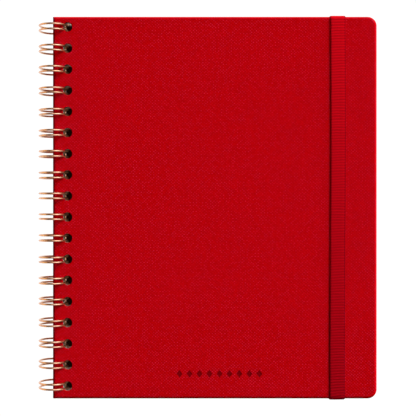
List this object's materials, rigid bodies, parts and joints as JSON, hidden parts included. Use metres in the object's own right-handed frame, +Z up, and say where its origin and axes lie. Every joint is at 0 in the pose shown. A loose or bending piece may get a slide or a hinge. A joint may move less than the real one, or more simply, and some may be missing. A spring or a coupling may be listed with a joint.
{
  "type": "wire-bound hardcover notebook",
  "caption": "Hardcover notebook in woven cloth, bound with a twin-loop wire along the spine and held shut by a ribbed elastic band near the fore-edge.",
  "frame": {"origin": "centre of the bounding box's bottom face: the plane the closed notebook lies on, back cover down", "axes": "+X towards the fore-edge, away from the wire; +Y towards the head, along the hinge line; +Z up out of the front cover. The book leans about one degree about Y, because it stands on the wire's rings at the spine and on the elastic band near the fore-edge."},
  "size_m": [0.1364, 0.155, 0.0122],
  "materials": {
    "cover_cloth": "matt woven book cloth with a fine diagonal fleck",
    "cover_board": "uncoated greyboard",
    "endpaper": "uncoated, ivory",
    "paper": "uncoated, ruled, ivory",
    "wire": "steel wire with a glossy rose-gold metallic coat",
    "elastic": "woven elastic with fine cross ribs"
  },
  "bodies": {
    "back_cover": {"back_cover_cloth": "cover_cloth", "back_cover_board": "cover_board", "back_endpaper": "endpaper", "twin_loop_wire": "wire"},
    "leaves_11_12": {"leaf_11": "paper", "leaf_12": "paper"},
    "leaves_09_10": {"leaf_09": "paper", "leaf_10": "paper"},
    "leaves_07_08": {"leaf_07": "paper", "leaf_08": "paper"},
    "leaves_05_06": {"leaf_05": "paper", "leaf_06": "paper"},
    "leaves_03_04": {"leaf_03": "paper", "leaf_04": "paper"},
    "leaves_01_02": {"leaf_01": "paper", "leaf_02": "paper"},
    "front_cover": {"front_cover_cloth": "cover_cloth", "front_cover_board": "cover_board", "front_endpaper": "endpaper"},
    "closure_band": {"elastic_band": "elastic"}
  },
  "joints": [
    {"name": "leaves_11_12_turn", "type": "hinge", "parent": "back_cover", "child": "leaves_11_12", "pos_m": [-0.06211, 0, 0.00604], "axis": [0, -1, 0], "range_deg": [0, 180]},
    {"name": "leaves_09_10_turn", "type": "hinge", "parent": "leaves_11_12", "child": "leaves_09_10", "pos_m": [-0.06211, 0, 0.00604], "axis": [0, -1, 0], "range_deg": [0, 180]},
    {"name": "leaves_07_08_turn", "type": "hinge", "parent": "leaves_09_10", "child": "leaves_07_08", "pos_m": [-0.06211, 0, 0.00604], "axis": [0, -1, 0], "range_deg": [0, 180]},
    {"name": "leaves_05_06_turn", "type": "hinge", "parent": "leaves_07_08", "child": "leaves_05_06", "pos_m": [-0.06211, 0, 0.00604], "axis": [0, -1, 0], "range_deg": [0, 180]},
    {"name": "leaves_03_04_turn", "type": "hinge", "parent": "leaves_05_06", "child": "leaves_03_04", "pos_m": [-0.06211, 0, 0.00604], "axis": [0, -1, 0], "range_deg": [0, 180]},
    {"name": "leaves_01_02_turn", "type": "hinge", "parent": "leaves_03_04", "child": "leaves_01_02", "pos_m": [-0.06211, 0, 0.00604], "axis": [0, -1, 0], "range_deg": [0, 180]},
    {"name": "front_cover_turn", "type": "hinge", "parent": "leaves_01_02", "child": "front_cover", "pos_m": [-0.06211, 0, 0.00604], "axis": [0, -1, 0], "range_deg": [0, 182.2]},
    {"name": "closure_band_swing", "type": "hinge", "parent": "back_cover", "child": "closure_band", "pos_m": [0.05231, 0, 0.00049], "axis": [0, 1, 0], "range_deg": [0, 180], "deforming": ["elastic_band"]}
  ]
}
